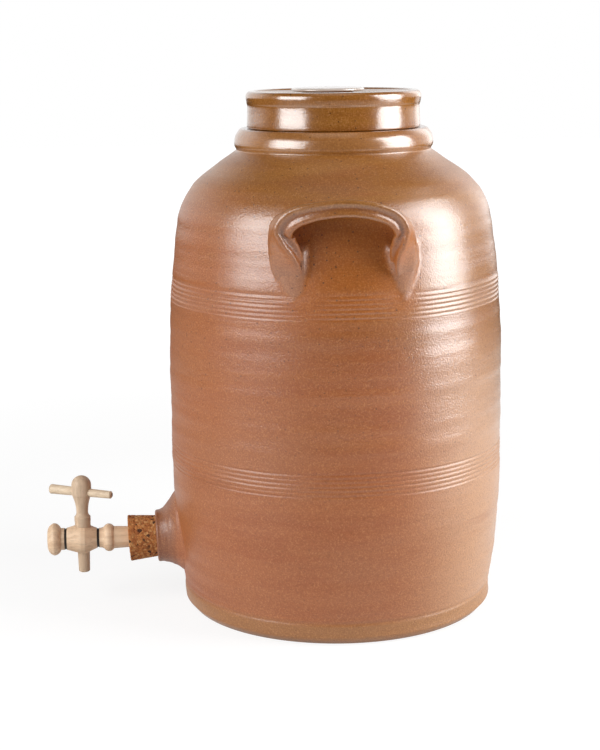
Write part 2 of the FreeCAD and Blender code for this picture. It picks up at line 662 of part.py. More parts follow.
def lid():
    """The lid: rolled rim, dished top with its knob, and a locating ring inside the mouth."""
    ring = "(neck_radius - lid_clearance)"
    cover = turned("lid_cover", [
        ("0", LID_DISH + " - lid_plate"),
        (ring + " - lid_wall", LID_DISH + " - lid_plate"),
        (ring + " - lid_wall", LEDGE + " - lid_reach"),
        (ring, LEDGE + " - lid_reach"),
        (ring, LEDGE),
        (LID_RADIUS + " - lid_step_depth", LEDGE),
        (LID_RADIUS, LEDGE + " + lid_step_depth"),
        (LID_RADIUS, LID_STEP + " - lid_step_depth"),
        (LID_RADIUS + " - lid_step_depth", LID_STEP),
        (LID_RADIUS, LID_STEP + " + lid_step_depth"),
        (LID_RADIUS + " + lid_roll_stand", LID_STEP + " + lid_roll_rise / 2", "lid_roll_round", 1),
        (LID_RADIUS + " - lid_crest_inset", LID_CREST, "lid_roll_round", 1),
        (LID_RADIUS + " - lid_crest_inset - 0.5 * lid_roll_round", LID_CREST + " - lid_dish / 3"),
        ("grip_stem_radius", LID_DISH),
        ("0", LID_DISH),
    ])
    grip = placed(turned("lid_grip", [
        ("0", LID_DISH + " - lid_plate / 2"),
        ("grip_stem_radius", LID_DISH + " - lid_plate / 2"),
        ("grip_stem_radius", GRIP_LOW),
        ("grip_radius - grip_edge", GRIP_LOW, "grip_edge", 1),
        ("grip_radius", GRIP_LOW + " + grip_edge"),
        ("grip_radius - grip_edge", GRIP_LOW + " + grip_thickness - 0.4 * grip_edge"),
        ("0", GRIP_LOW + " + grip_thickness"),
    ]), ("-grip_offset", "0", "0"))
    return united("lid", [cover, grip])


def write(pieces):
    """Check the whole document, then write each sub-part under its own name."""
    doc.removeObject(probe.Name)
    doc.recompute()
    for item in doc.Objects:
        if "Invalid" in item.State or "Error" in item.State:
            raise RuntimeError("%s failed: %s" % (item.Name, item.State))
    os.makedirs("parts", exist_ok=True)
    for piece in pieces:
        shape = piece.Shape
        if shape.isNull() or not shape.isValid() or len(shape.Solids) != 1:
            raise RuntimeError("%s is not one sound solid" % piece.Label)
        shape.exportStep("parts/%s.step" % piece.Label)
        print("%-12s %9.1f cm3" % (piece.Label, shape.Volume / 1000))


write([jar(), lid(), cork(), tap_barrel(), tap_key(), tap_handle()])
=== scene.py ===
"""Looks of the lidded stoneware water jug with its wooden tap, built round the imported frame."""

import math

import bpy
import numpy as np
from mathutils import Matrix, Vector, noise

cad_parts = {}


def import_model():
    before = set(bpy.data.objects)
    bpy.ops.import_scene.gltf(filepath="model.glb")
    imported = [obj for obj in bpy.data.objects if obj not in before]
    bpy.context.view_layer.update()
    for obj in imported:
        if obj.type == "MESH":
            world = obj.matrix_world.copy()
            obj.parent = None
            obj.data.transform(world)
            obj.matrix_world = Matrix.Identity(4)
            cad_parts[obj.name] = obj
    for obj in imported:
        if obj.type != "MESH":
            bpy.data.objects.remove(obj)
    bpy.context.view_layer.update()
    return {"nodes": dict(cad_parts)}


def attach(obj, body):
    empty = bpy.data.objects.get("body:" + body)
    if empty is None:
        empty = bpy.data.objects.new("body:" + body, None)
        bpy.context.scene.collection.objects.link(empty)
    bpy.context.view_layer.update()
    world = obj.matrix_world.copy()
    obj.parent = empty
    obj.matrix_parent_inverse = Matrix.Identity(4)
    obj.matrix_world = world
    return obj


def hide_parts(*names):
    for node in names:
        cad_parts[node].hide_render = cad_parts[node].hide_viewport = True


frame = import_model()
scene = bpy.context.scene
MM = 0.001
ARC_POINTS = 48


def smooth(edge0, edge1, x):
    """0 below edge0, 1 above edge1, with a soft step between."""
    t = np.clip((x - edge0) / (edge1 - edge0), 0.0, 1.0)
    return t * t * (3.0 - 2.0 * t)


def bell(x, middle, width):
    """1 at the middle, fading on both sides of it over about the width."""
    return np.exp(-(((x - middle) / width) ** 2))


# ---------------------------------------------------------------- meshes

def mesh_piece(name, points, quads, caps=()):
    """An object from an array of points in millimetres and rows of corner numbers."""
    mesh = bpy.data.meshes.new(name)
    faces = [tuple(int(i) for i in q) for q in quads] + [tuple(c) for c in caps]
    mesh.from_pydata((np.asarray(points) * MM).tolist(), [], faces)
    mesh.validate()
    mesh.update()
    mesh.polygons.foreach_set("use_smooth", [True] * len(mesh.polygons))
    piece = bpy.data.objects.new(name, mesh)
    scene.collection.objects.link(piece)
    return piece


def points_of(piece):
    """The piece's points in metres, one row each."""
    return np.array([v.co for v in piece.data.vertices])


def put_points(piece, points):
    """Move the piece's points to these rows, in metres."""
    piece.data.vertices.foreach_set("co", points.reshape(-1))
    piece.data.update()


def mark_smears_and_shade(piece, values):
    """Store what the glaze's tone reads: above 0 on smeared clay, below 0 in a hollow, which gets painted
    shade.
    """
    mark = piece.data.attributes.new("smeared", "FLOAT", "POINT")
    mark.data.foreach_set("value", values.reshape(-1).astype(np.float32))


def grid_quads(rows, columns, wrap_rows):
    """Corner numbers of a grid that closes round its columns, and round its rows if asked."""
    last = rows if wrap_rows else rows - 1
    i, j = np.meshgrid(np.arange(last), np.arange(columns), indexing="ij")
    up, right = (i + 1) % rows, (j + 1) % columns
    corners = [i * columns + j, i * columns + right, up * columns + right, up * columns + j]
    return np.stack(corners, -1).reshape(-1, 4)


def fans(first, last, columns, start):
    """Triangles that close a grid at both ends: from the point first to its first row, and from the
    point last to its last row, which begins at the corner number start."""
    low = [(first, (j + 1) % columns, j) for j in range(columns)]
    high = [(last, start + j, start + (j + 1) % columns) for j in range(columns)]
    return low + high


def arc(start, end, radius, side):
    """Points of the shorter arc from start to end; it bulges to the right of the way if side is 1."""
    a, b = np.array(start, float), np.array(end, float)
    chord = b - a
    length = np.hypot(*chord)
    rise = math.sqrt(max(radius * radius - length * length / 4, 0.0))
    centre = (a + b) / 2 + np.array([-chord[1], chord[0]]) / length * rise * side
    first = math.atan2(*(a - centre)[::-1])
    last = math.atan2(*(b - centre)[::-1])
    while last - first > math.pi:
        last -= 2 * math.pi
    while last - first < -math.pi:
        last += 2 * math.pi
    turn = np.linspace(first, last, ARC_POINTS)
    return np.stack([centre[0] + radius * np.cos(turn), centre[1] + radius * np.sin(turn)], 1)


def resampled(parts, step):
    """One polyline through the parts, cut into steps; step is a function of the point."""
    line = np.concatenate([np.asarray(p, float).reshape(-1, 2) for p in parts])
    keep = np.concatenate([[True], np.hypot(*np.diff(line, axis=0).T) > 1e-6])
    line = line[keep]
    along = np.concatenate([[0], np.cumsum(np.hypot(*np.diff(line, axis=0).T))])
    marks = [0.0]
    while marks[-1] < along[-1]:
        here = [np.interp(marks[-1], along, line[:, k]) for k in (0, 1)]
        marks.append(marks[-1] + step(*here))
    marks = np.array(marks) * along[-1] / marks[-1]
    return np.stack([np.interp(marks, along, line[:, k]) for k in (0, 1)], 1)


def normals_of(profile, closed):
    """Outward normals of a profile whose inside is on the left of the way."""
    if closed:
        way = np.roll(profile, -1, 0) - np.roll(profile, 1, 0)
    else:
        way = np.gradient(profile, axis=0)
    way /= np.maximum(np.hypot(*way.T), 1e-9)[:, None]
    return np.stack([way[:, 1], -way[:, 0]], 1)


def ripple(seed, height, angle, waves):
    """Throwing marks: a few waves up the wall that drift once round it."""
    random = np.random.default_rng(seed)
    total = 0.0
    for length, size in waves:
        phase, drift = random.uniform(0, 2 * math.pi), random.integers(-1, 2)
        total = total + size * np.sin(2 * math.pi * height / length + phase + drift * angle)
    return total


def spline_through(values, count, closed=False):
    """A smooth line through the values, with the same number of points in each span."""
    v = np.asarray(values, float)
    spans = len(v) if closed else len(v) - 1
    points = []
    for k in range(spans):
        numbers = [k - 1, k, k + 1, k + 2]
        numbers = [n % len(v) if closed else min(max(n, 0), len(v) - 1) for n in numbers]
        before, start, end, after = v[numbers]
        for step in range(count):
            s = step / count
            linear = (end - before) * s
            square = (2 * before - 5 * start + 4 * end - after) * s * s
            cube = (3 * start - before - 3 * end + after) * s**3
            points.append(0.5 * (2 * start + linear + square + cube))
    if not closed:
        points.append(v[-1])
    return np.array(points)


# ---------------------------------------------------------------- the pot, in millimetres

BELLY = 140.7
BELLY_LOW, BELLY_HIGH = 120.0, 205.0
SHOULDER, SHOULDER_HEIGHT = 131.3, 330.0
SHOULDER_ROUND = 59.0
COLLAR, COLLAR_FOOT = 81.0, 387.5
LIP = 78.6
NECK = 68.0
RIM_TOP = 405.2
FOOT, FOOT_TOP = 132.3, 19.8
FOOT_FLAT, FOOT_ROUND = 126.5, 7.5
WALL = 8.5
FLOOR = 11.0
HIGH_ARC = ((SHOULDER_HEIGHT - BELLY_HIGH) ** 2 + (BELLY - SHOULDER) ** 2) / (2 * (BELLY - SHOULDER))
LOW_ARC = ((BELLY_LOW - FOOT_TOP) ** 2 + (BELLY - FOOT) ** 2) / (2 * (BELLY - FOOT))

BEAD = spline_through([
    (COLLAR, COLLAR_FOOT), (COLLAR, 388.5), (COLLAR + 0.7, 389.5), (COLLAR + 1.6, 391.4),
    (COLLAR + 1.7, 393.8), (COLLAR + 1.3, 397.2), (COLLAR + 0.2, 400.4), (COLLAR - 1.7, 403.2),
    (LIP - 0.5, 404.6), (LIP - 1.4, RIM_TOP),
], 3)

# Each combed band: the height of its middle, and the phase of its drift round the pot.
COMBS = ((134.9, 0.0), (275.4, 1.3))
COMB_TEETH, COMB_PITCH, COMB_DEPTH, COMB_GROOVE = 6, 3.6, 0.62, 0.78
COMB_REACH = 12

# Throwing marks on the wall: length of each wave and its size.
POT_WAVES = ((23, 0.12), (14.5, 0.09), (9.2, 0.06), (61, 0.22))

# The line scored above the foot: its height, how far that drifts round the pot, and how deep it is.
FOOT_LINE, FOOT_LINE_DRIFT, FOOT_LINE_DEPTH = 24.6, 1.6, 0.28

# How far apart the mesh's rows lie on each stretch of the pot.
ROWS = {"flat": 8.0, "inside": 6.0, "comb": 0.6, "foot": 1.1, "collar": 1.0, "wall": 3.0, "shoulder": 2.6}

EAR_MIDDLE = math.radians(-93.0)

# Clay pressed on below an ear's legs: millimetres round the pot from the ear's middle, and the height.
LEFT_ROOT = [(-53, 322), (-54, 302), (-46, 288), (-39, 281), (-33, 288), (-29.5, 304), (-29, 322)]
RIGHT_ROOT = [(33, 322), (36, 306), (42, 291), (48, 278), (54, 290), (60, 306), (60, 322)]
ROOT_RADIUS = 137.0
ROOT_LOW, ROOT_HIGH, ROOT_TONE_HIGH = 255, 372, 350
EAR_REACH = 74


def shoulder_turns():
    """The round that carries the shoulder up to the collar, on the outside and on the inside."""
    lean = math.asin((SHOULDER_HEIGHT - BELLY_HIGH) / HIGH_ARC)
    across, up = SHOULDER_ROUND * math.cos(lean), SHOULDER_ROUND * math.sin(lean)
    centre = np.array([SHOULDER - across, SHOULDER_HEIGHT - up])
    to_collar = np.array([COLLAR, COLLAR_FOOT]) - centre
    end = math.atan2(to_collar[1], to_collar[0]) - math.acos(SHOULDER_ROUND / np.hypot(*to_collar))
    turn = np.linspace(lean, end, ARC_POINTS)
    ways = np.stack([np.cos(turn), np.sin(turn)], 1)
    return centre + SHOULDER_ROUND * ways, centre + (SHOULDER_ROUND - WALL) * ways


def pot_step(r, z):
    """Fine rows on the combed bands, foot line and collar; wide ones elsewhere."""
    if r < 60 or z < 1:
        return ROWS["flat"]
    fall = max(0, z - BELLY_HIGH) ** 2 / (2 * HIGH_ARC)
    outside = BELLY - fall - max(0, BELLY_LOW - z) ** 2 / (2 * LOW_ARC)
    if r < NECK + 1 or (12 < z < 340 and r < outside - WALL / 2):
        return ROWS["inside"]
    for middle, _ in COMBS:
        if abs(z - middle) < COMB_REACH:
            return ROWS["comb"]
    if z < 26:
        return ROWS["foot"]
    if z > 384:
        return ROWS["collar"]
    return ROWS["wall"] if z < SHOULDER_HEIGHT else ROWS["shoulder"]


def pot_profile():
    """Half of the pot's section: out along the base, up the outside, over the rim and down to the floor."""
    outer_turn, inner_turn = shoulder_turns()
    line = resampled([
        [(0, 0), (FOOT_FLAT, 0)],
        arc((FOOT_FLAT, 0), (FOOT, FOOT_ROUND), FOOT_ROUND, 1),
        [(FOOT, 16.4), (FOOT - 0.9, 18.0), (FOOT, FOOT_TOP)],
        arc((FOOT, FOOT_TOP), (BELLY, BELLY_LOW), LOW_ARC, 1),
        arc((BELLY, BELLY_HIGH), (SHOULDER, SHOULDER_HEIGHT), HIGH_ARC, 1),
        outer_turn,
        BEAD,
        [(NECK + 1.0, RIM_TOP), (NECK, RIM_TOP - 1.0), (NECK, 386.4)],
        inner_turn[::-1],
        arc((SHOULDER - WALL, SHOULDER_HEIGHT), (BELLY - WALL, BELLY_HIGH), HIGH_ARC - WALL, -1),
        [(BELLY - WALL, BELLY_LOW), (FOOT - WALL, 25)],
        [(FOOT - WALL - 4.2, 15.2), (FOOT - WALL - 14, FLOOR), (0, FLOOR)],
    ], pot_step)
    return line[1:-1]


def inside_distance(u, v, corners):
    """Distance inside a convex outline, negative outside; corners run counter-clockwise."""
    depth = np.full(np.shape(u), 1e9)
    for (x0, y0), (x1, y1) in zip(corners, corners[1:] + corners[:1]):
        length = math.hypot(x1 - x0, y1 - y0)
        depth = np.minimum(depth, ((x1 - x0) * (v - y0) - (y1 - y0) * (u - x0)) / length)
    return depth


def root_clay(u, v):
    """Height of the clay smeared from the two legs of an ear; u is mm round the pot, v the height."""
    total = np.zeros(np.shape(u))
    for corners, low, softness in ((LEFT_ROOT, 281, 4.0), (RIGHT_ROOT, 280, 3.4)):
        depth = inside_distance(u, v, corners)
        thick = 0.7 + 5.6 * smooth(low, 318, v)
        fade = 1 - smooth(322, 334, v)
        total = np.maximum(total, thick * smooth(-0.6 * softness, softness, depth) * fade)
    reach = np.hypot((u - 3) / 62.0, (v - 318) / 52.0)
    swell = 1.1 * (1 - smooth(0.55, 1.05, reach))
    edge = 0.35 * bell(reach, 1.0, 0.045) * smooth(-5, -35, u) * smooth(275, 300, v)
    return total + swell + edge


def root_tone(u, z):
    """1 on the two pads of clay under an ear's legs, fading to 0 past their edges."""
    left = smooth(-3, 3, inside_distance(u, z, LEFT_ROOT)) * 3
    right = smooth(-2, 2, inside_distance(u, z, RIGHT_ROOT)) * 3
    near = (z > ROOT_LOW) & (z < ROOT_TONE_HIGH)
    return np.where(near, smooth(0.3, 2.2, np.maximum(left, right)), 0.0)


def smear_mask(u, v):
    """1 where fingers have wiped the combed lines out round the ear's roots."""
    left = bell(u, -33, 17) * smooth(262, 279, v)
    right = bell(u, 50, 12) * smooth(258, 276, v)
    return np.clip(1.25 * np.maximum(left, right), 0, 1)


def around(angle, middle):
    """Millimetres round the pot from an ear's middle."""
    turned = (angle - middle + math.pi) % (2 * math.pi) - math.pi
    return turned * ROOT_RADIUS


def pot_angles():
    """Directions round the pot, closer together at the ears."""
    marks, angle = [], -math.pi
    while angle < math.pi - 1e-6:
        marks.append(angle)
        near = min(abs(around(angle, EAR_MIDDLE)), abs(around(angle, EAR_MIDDLE + math.pi)))
        angle += math.radians(0.95 if near < EAR_REACH else 2.25)
    return np.array(marks)


def cut_combs(move, z, theta, wiped):
    """The wall's relief with both combed bands cut into it, except where fingers have wiped them."""
    for middle, phase in COMBS:
        drift = 0.5 * np.sin(theta + phase) + 0.25 * np.sin(3 * theta + 2 * phase) + 0.12 * np.sin(7 * theta)
        local = z - middle - drift
        for tooth in range(COMB_TEETH):
            depth = COMB_DEPTH + 0.16 * math.sin(2.3 * tooth + middle)
            place = (tooth - (COMB_TEETH - 1) / 2) * COMB_PITCH
            move = move - depth * bell(local, place, COMB_GROOVE) * (1 - wiped)
        move = move + 0.22 * (1 - smooth(9.5, 12.5, np.abs(local))) * (1 - wiped)
    return move


def pot():
    """The thrown pot, with its throwing marks, combed bands, foot line and the clay under the ears."""
    profile = pot_profile()
    out = normals_of(profile, False)
    r, z = profile[:, :1], profile[:, 1:]
    theta = pot_angles()[None, :]
    u_front, u_back = around(theta, EAR_MIDDLE), around(theta, EAR_MIDDLE + math.pi)
    wiped = np.maximum(smear_mask(u_front, z), smear_mask(u_back, z))
    move = cut_combs(ripple(3, z, theta, POT_WAVES), z, theta, wiped)
    clay_added = np.maximum(root_clay(u_front, z), root_clay(u_back, z))
    move = move + np.where((z > ROOT_LOW) & (z < ROOT_HIGH), clay_added, 0.0)
    foot_line = FOOT_LINE + FOOT_LINE_DRIFT * np.sin(theta + 0.6)
    move = move - FOOT_LINE_DEPTH * bell(z, foot_line, 0.9)
    calm = smooth(1.5, 9.0, z) * (1 - 0.75 * smooth(384, 390, z))
    below_rim = (np.arange(len(profile)) < np.argmax(profile[:, 1]))[:, None]
    is_out = below_rim & (z > 1)
    move = np.where(is_out, move * calm, 0.0)
    radius = r + out[:, :1] * move
    height = np.broadcast_to(z + out[:, 1:] * move, radius.shape)
    points = np.stack([radius * np.cos(theta), radius * np.sin(theta), height], -1).reshape(-1, 3)
    rows, columns = radius.shape
    wall_points = len(points)
    points = np.vstack([points, [[0, 0, 0]], [[0, 0, FLOOR]]])
    caps = fans(wall_points, wall_points + 1, columns, (rows - 1) * columns)
    piece = mesh_piece("pot", points, grid_quads(rows, columns, False), caps)
    tone = np.zeros(len(points))
    pads = np.maximum(root_tone(u_front, z), root_tone(u_back, z))
    tone[:wall_points] = np.where(is_out, pads, 0.0).reshape(-1)
    mark_smears_and_shade(piece, tone)
    return piece


# ---------------------------------------------------------------- ears

# The strap's section, across it and through it: from its thin edge along the under side, round the
# grooved edge and back over the top.
SECTION = [
    (-11.5, 0.0), (-11.0, -2.6), (-9.2, -4.6), (-5.5, -5.3), (0.0, -5.4), (5.5, -5.6), (8.6, -6.0),
    (10.6, -5.5), (11.5, -4.0), (11.2, -2.4), (10.3, -1.0), (10.1, 0.4), (10.5, 1.8), (11.3, 3.0),
    (11.4, 4.6), (10.3, 5.8), (8.4, 6.0), (5.5, 5.4), (0.0, 4.9), (-5.5, 5.0), (-9.2, 4.4), (-11.0, 2.6),
]

# Stations of the strap, from its left root over its top to its right root:
# degrees from the middle, radius, height, share of the full breadth and thickness, twist in degrees.
STATIONS = [
    (-18.2, 129.5, 288.0, 0.70, 0.40, -90), (-18.4, 133.6, 297.0, 0.95, 0.60, -90),
    (-18.6, 137.6, 307.0, 1.12, 0.96, -86), (-19.0, 141.6, 318.0, 1.15, 1.08, -70),
    (-19.5, 145.2, 329.6, 1.10, 1.20, -48), (-18.6, 147.4, 338.9, 1.10, 1.35, -32),
    (-14.4, 149.0, 347.0, 1.05, 1.30, -16), (-7.6, 150.4, 351.9, 1.00, 1.14, -4),
    (0.0, 151.0, 353.9, 1.00, 1.10, 0), (7.2, 150.4, 351.7, 1.00, 1.10, 4),
    (13.2, 149.0, 346.3, 1.00, 1.10, 16), (17.0, 147.4, 338.3, 1.02, 1.10, 32),
    (18.4, 145.2, 329.0, 1.00, 1.08, 48), (18.9, 141.6, 318.0, 0.95, 1.00, 70),
    (19.6, 137.6, 307.0, 0.80, 0.90, 86), (20.2, 133.6, 297.0, 0.55, 0.60, 90),
    (20.8, 129.5, 288.0, 0.30, 0.40, 90),
]


def ear_frame(line, middle):
    """For each station of the line: its place, and the ways across and through the strap."""
    angle = middle + np.radians(line[:, 0])
    spots = np.stack([line[:, 1] * np.cos(angle), line[:, 1] * np.sin(angle), line[:, 2]], 1)
    along = np.gradient(spots, axis=0)
    along /= np.linalg.norm(along, axis=1)[:, None]
    outward = np.stack([np.cos(angle), np.sin(angle), 0 * angle], 1)
    sideways = np.stack([-np.sin(angle), np.cos(angle), 0 * angle], 1)
    twist = np.radians(line[:, 5])[:, None]
    across = outward * np.cos(twist) - sideways * np.sin(twist)
    across -= along * np.sum(across * along, 1)[:, None]
    across /= np.linalg.norm(across, axis=1)[:, None]
    through = np.cross(across, along)
    upright = np.sum(through * np.array([0, 0, 1.0]), 1) + np.sum(through * outward, 1) * 0.5
    through *= np.sign(upright)[:, None]
    return spots, across, through


def ear(name, middle):
    """A pulled strap handle with a grooved outer edge, its legs pressed onto the shoulder."""
    line = spline_through(STATIONS, 8)
    wobble = 0.12 * np.random.default_rng(11).uniform(-1, 1, (len(line), 2))
    section = spline_through(SECTION, 2, True)
    spots, across, through = ear_frame(line, middle)
    points = []
    for k in range(len(line)):
        side = section[:, 0] * line[k, 3] + wobble[k, 0]
        rise = section[:, 1] * line[k, 4] + wobble[k, 1]
        points.append(spots[k] + across[k] * side[:, None] + through[k] * rise[:, None])
    rows, columns = len(line), len(section)
    first_cap = list(range(columns))[::-1]
    last_cap = [(rows - 1) * columns + j for j in range(columns)]
    quads = grid_quads(rows, columns, False)
    piece = mesh_piece(name, np.concatenate(points), quads, [first_cap, last_cap])
    leg = (1 - smooth(300, 322, line[:, 2]))[:, None]
    # groove: the hollow of the grooved edge, which the colour darkens as painted shade.
    groove = (bell(section[:, 1], 0.2, 1.9) * (section[:, 0] > 9))[None, :]
    mark_smears_and_shade(piece, leg - (1 - leg) * groove)
    return piece


# ---------------------------------------------------------------- turned pieces

def lathe(name, parts, step, axis="z", count=192, waves=(), seed=0, ring=False):
    """A closed turned piece: the profile has its inside on its left, and runs from axis to axis,
    or for a ring back to its own start."""
    line = resampled(parts, step)
    line = line[:-1] if ring else line[1:-1]
    ends = [np.asarray(parts[0])[0], np.asarray(parts[-1])[-1]]
    theta = np.linspace(0, 2 * math.pi, count, endpoint=False)[None, :]
    out = normals_of(line, ring)
    move = ripple(seed, line[:, 1:], theta, waves) if waves else 0 * theta
    r = line[:, :1] + out[:, :1] * move
    h = line[:, 1:] + out[:, 1:] * move
    a, b, c = r * np.cos(theta), r * np.sin(theta), h + 0 * theta
    points = np.stack([a, b, c], -1).reshape(-1, 3)
    caps = []
    if not ring:
        total = len(points)
        points = np.vstack([points, [[0, 0, ends[0][1]], [0, 0, ends[1][1]]]])
        caps = fans(total, total + 1, count, (len(line) - 1) * count)
    if axis == "x":
        points = points[:, [2, 0, 1]]
    return mesh_piece(name, points, grid_quads(len(line), count, ring), caps)


# The boss's mouth, its height and its place along X, and how far the tap's axis droops. Its flare
# reaches further up the wall than down, by a share of its radius.
TAP_HEIGHT, MOUTH, DROOP = 57.6, -156.5, math.radians(3.0)
BORE = 17.4
FLARE = 0.32


def at_mouth(piece):
    """Carry a piece drawn along X from the boss's mouth to its place, drooping outwards."""
    points = points_of(piece)
    x = points[:, 0] * math.cos(DROOP) - points[:, 2] * math.sin(DROOP)
    z = points[:, 0] * math.sin(DROOP) + points[:, 2] * math.cos(DROOP)
    points[:, 0], points[:, 2] = x + MOUTH * MM, z + TAP_HEIGHT * MM
    put_points(piece, points)
    return piece


def boss():
    """The hollow socket for the cork, flared where it meets the wall, further upwards than down."""
    piece = lathe("boss", [
        [(BORE, 26.0), (BORE, 1.2), (18.6, 0.2), (19.2, 0.0), (20.6, 0.0)],
        arc((20.6, 0), (22.4, 1.6), 1.7, 1),
        arc((22.4, 4.0), (36.0, 25.6), 33.0, -1),
        [(37.0, 27.5), (BORE, 27.5), (BORE, 26.0)],
    ], lambda r, z: 0.9, axis="x", count=160, waves=((6.3, 0.10), (3.4, 0.05)), seed=5, ring=True)
    points = points_of(piece) / MM
    away = np.hypot(points[:, 1], points[:, 2])
    upward = np.clip(points[:, 2] / away, 0, 1)
    grow = 1 + FLARE * upward**2 * smooth(3, 19, points[:, 0]) * (away > 19)
    points[:, 1:] *= grow[:, None]
    put_points(piece, points * MM)
    return at_mouth(piece)


def cork_grain(point):
    """How far the cork's skin stands out at a point: flat-topped grains with pits between them."""
    p = Vector(point)
    nearest, second = noise.voronoi(p * 0.36, distance_metric="DISTANCE")[0][:2]
    grain = 0.30 * smooth(0.02, 0.22, second - nearest) - 0.30
    pit = -0.55 * smooth(0.28, 0.5, noise.noise(p * 0.42 + Vector((7, 3, 1)))) + 0.1 * noise.noise(p * 1.3)
    return grain + pit


def cork():
    """The tapered cork round the tap's shank, rough on its outer end and on the skin that shows."""
    face, face_flat, face_round = -23.7, -23.6, -23.2
    piece = lathe("cork_sleeve", [
        [(9.7, face), (19.2, face), (19.8, -23.1), (18.75, -12), (17.75, 0), (16.4, 15.5), (16, 16.3)],
        [(9.0, 16.3), (9.7, face)],
    ], lambda r, z: 0.5, axis="x", count=240, ring=True)
    points = points_of(piece) / MM
    away = np.hypot(points[:, 1], points[:, 2])
    outer = (away > 12) & (points[:, 0] < -0.2)
    rough = np.zeros(len(points))
    for k in np.nonzero(outer)[0]:
        rough[k] = cork_grain(points[k])
    rough *= smooth(0.0, -2.0, points[:, 0])
    on_face = smooth(face_round, face_flat, points[:, 0])
    points[:, 0] -= rough * on_face
    scale = 1 + rough * (1 - on_face) / np.maximum(away, 1)
    points[:, 1] *= scale
    points[:, 2] *= scale
    put_points(piece, points * MM)
    return at_mouth(piece)


# The lid: its locating ring's radii and foot, the height at which it rests on the collar, its underside
# and the middle of its dished top, and how far its knob sits off the middle.
RING_INNER, RING_OUTER, RING_FOOT = 60, 66.8, 393
SEAT, UNDERSIDE, DISH = 405.35, 423.5, 431.0
KNOB_SHIFT = -4.5


def lid():
    """The lid: rolled rim, turned line, dished top and locating ring, with its flat knob."""
    rim = spline_through([
        (71.6, 405.7), (72.0, 407.0), (71.8, 412.0), (71.5, 420.0), (71.55, 424.3), (72.0, 425.5),
        (72.2, 426.6), (72.5, 428.4), (72.8, 430.6), (72.6, 432.5), (71.7, 434.2), (70.0, 435.4),
        (67.5, 435.8),
    ], 3)
    cover = lathe("lid_cover", [
        [(0, UNDERSIDE), (RING_INNER, UNDERSIDE), (RING_INNER, 393.6), (RING_INNER + 0.8, RING_FOOT)],
        [(66, RING_FOOT), (RING_OUTER, 393.8), (RING_OUTER, SEAT), (71.0, SEAT)],
        rim,
        [(66.0, 435.6), (64.3, 434.4), (58, 432.9), (46, 431.8), (30, 431.1), (0, DISH)],
    ], lambda r, z: 0.7 if r > 60 and z > 404 else 2.5, count=256, waves=((13.0, 0.03), (29, 0.06)), seed=8)
    knob = lathe("lid_knob", [
        [(0, 428.0), (21.0, 428.0), (22.3, 431.2), (22.0, 434.6), (28.6, 434.95)],
        arc((28.8, 434.95), (30.2, 436.4), 1.5, 1),
        [(30.0, 437.1), (28.6, 437.75), (20, 438.2), (0, 438.4)],
    ], lambda r, z: 0.8, waves=((7.0, 0.05),), seed=9)
    for vertex in knob.data.vertices:
        vertex.co.x += KNOB_SHIFT * MM
    return cover, knob


pot_piece = pot()
ear_front = ear("ear_front", EAR_MIDDLE)
ear_back = ear("ear_back", EAR_MIDDLE + math.pi)
boss_piece = boss()
cork_piece = cork()
lid_cover, lid_knob = lid()

for piece in (pot_piece, ear_front, ear_back, boss_piece, lid_cover, lid_knob):
    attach(piece, "jug")
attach(cork_piece, "jug")
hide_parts("jar")
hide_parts("lid")
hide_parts("cork")


# ---------------------------------------------------------------- shader nodes

class Shading:
    """Short calls that build a tree of shader nodes; those that make a value return its output socket."""

    def __init__(self, tree, coordinates):
        self.tree = tree
        self.place = self.node("ShaderNodeTexCoord").outputs[coordinates]

    def node(self, kind, **settings):
        made = self.tree.nodes.new(kind)
        for key, setting in settings.items():
            setattr(made, key, setting)
        return made

    def feed(self, socket, source):
        if isinstance(source, bpy.types.NodeSocket):
            self.tree.links.new(source, socket)
        elif isinstance(source, tuple) and len(source) == 3 and socket.type == "RGBA":
            socket.default_value = (*source, 1.0)
        else:
            socket.default_value = source

    def maths(self, kind, *sources, clamp=False):
        made = self.node("ShaderNodeMath", operation=kind, use_clamp=clamp)
        for socket, source in zip(made.inputs, sources):
            self.feed(socket, source)
        return made.outputs[0]

    def times(self, a, b):
        return self.maths("MULTIPLY", a, b)

    def axes(self):
        made = self.node("ShaderNodeSeparateXYZ")
        self.feed(made.inputs[0], self.place)
        return made.outputs


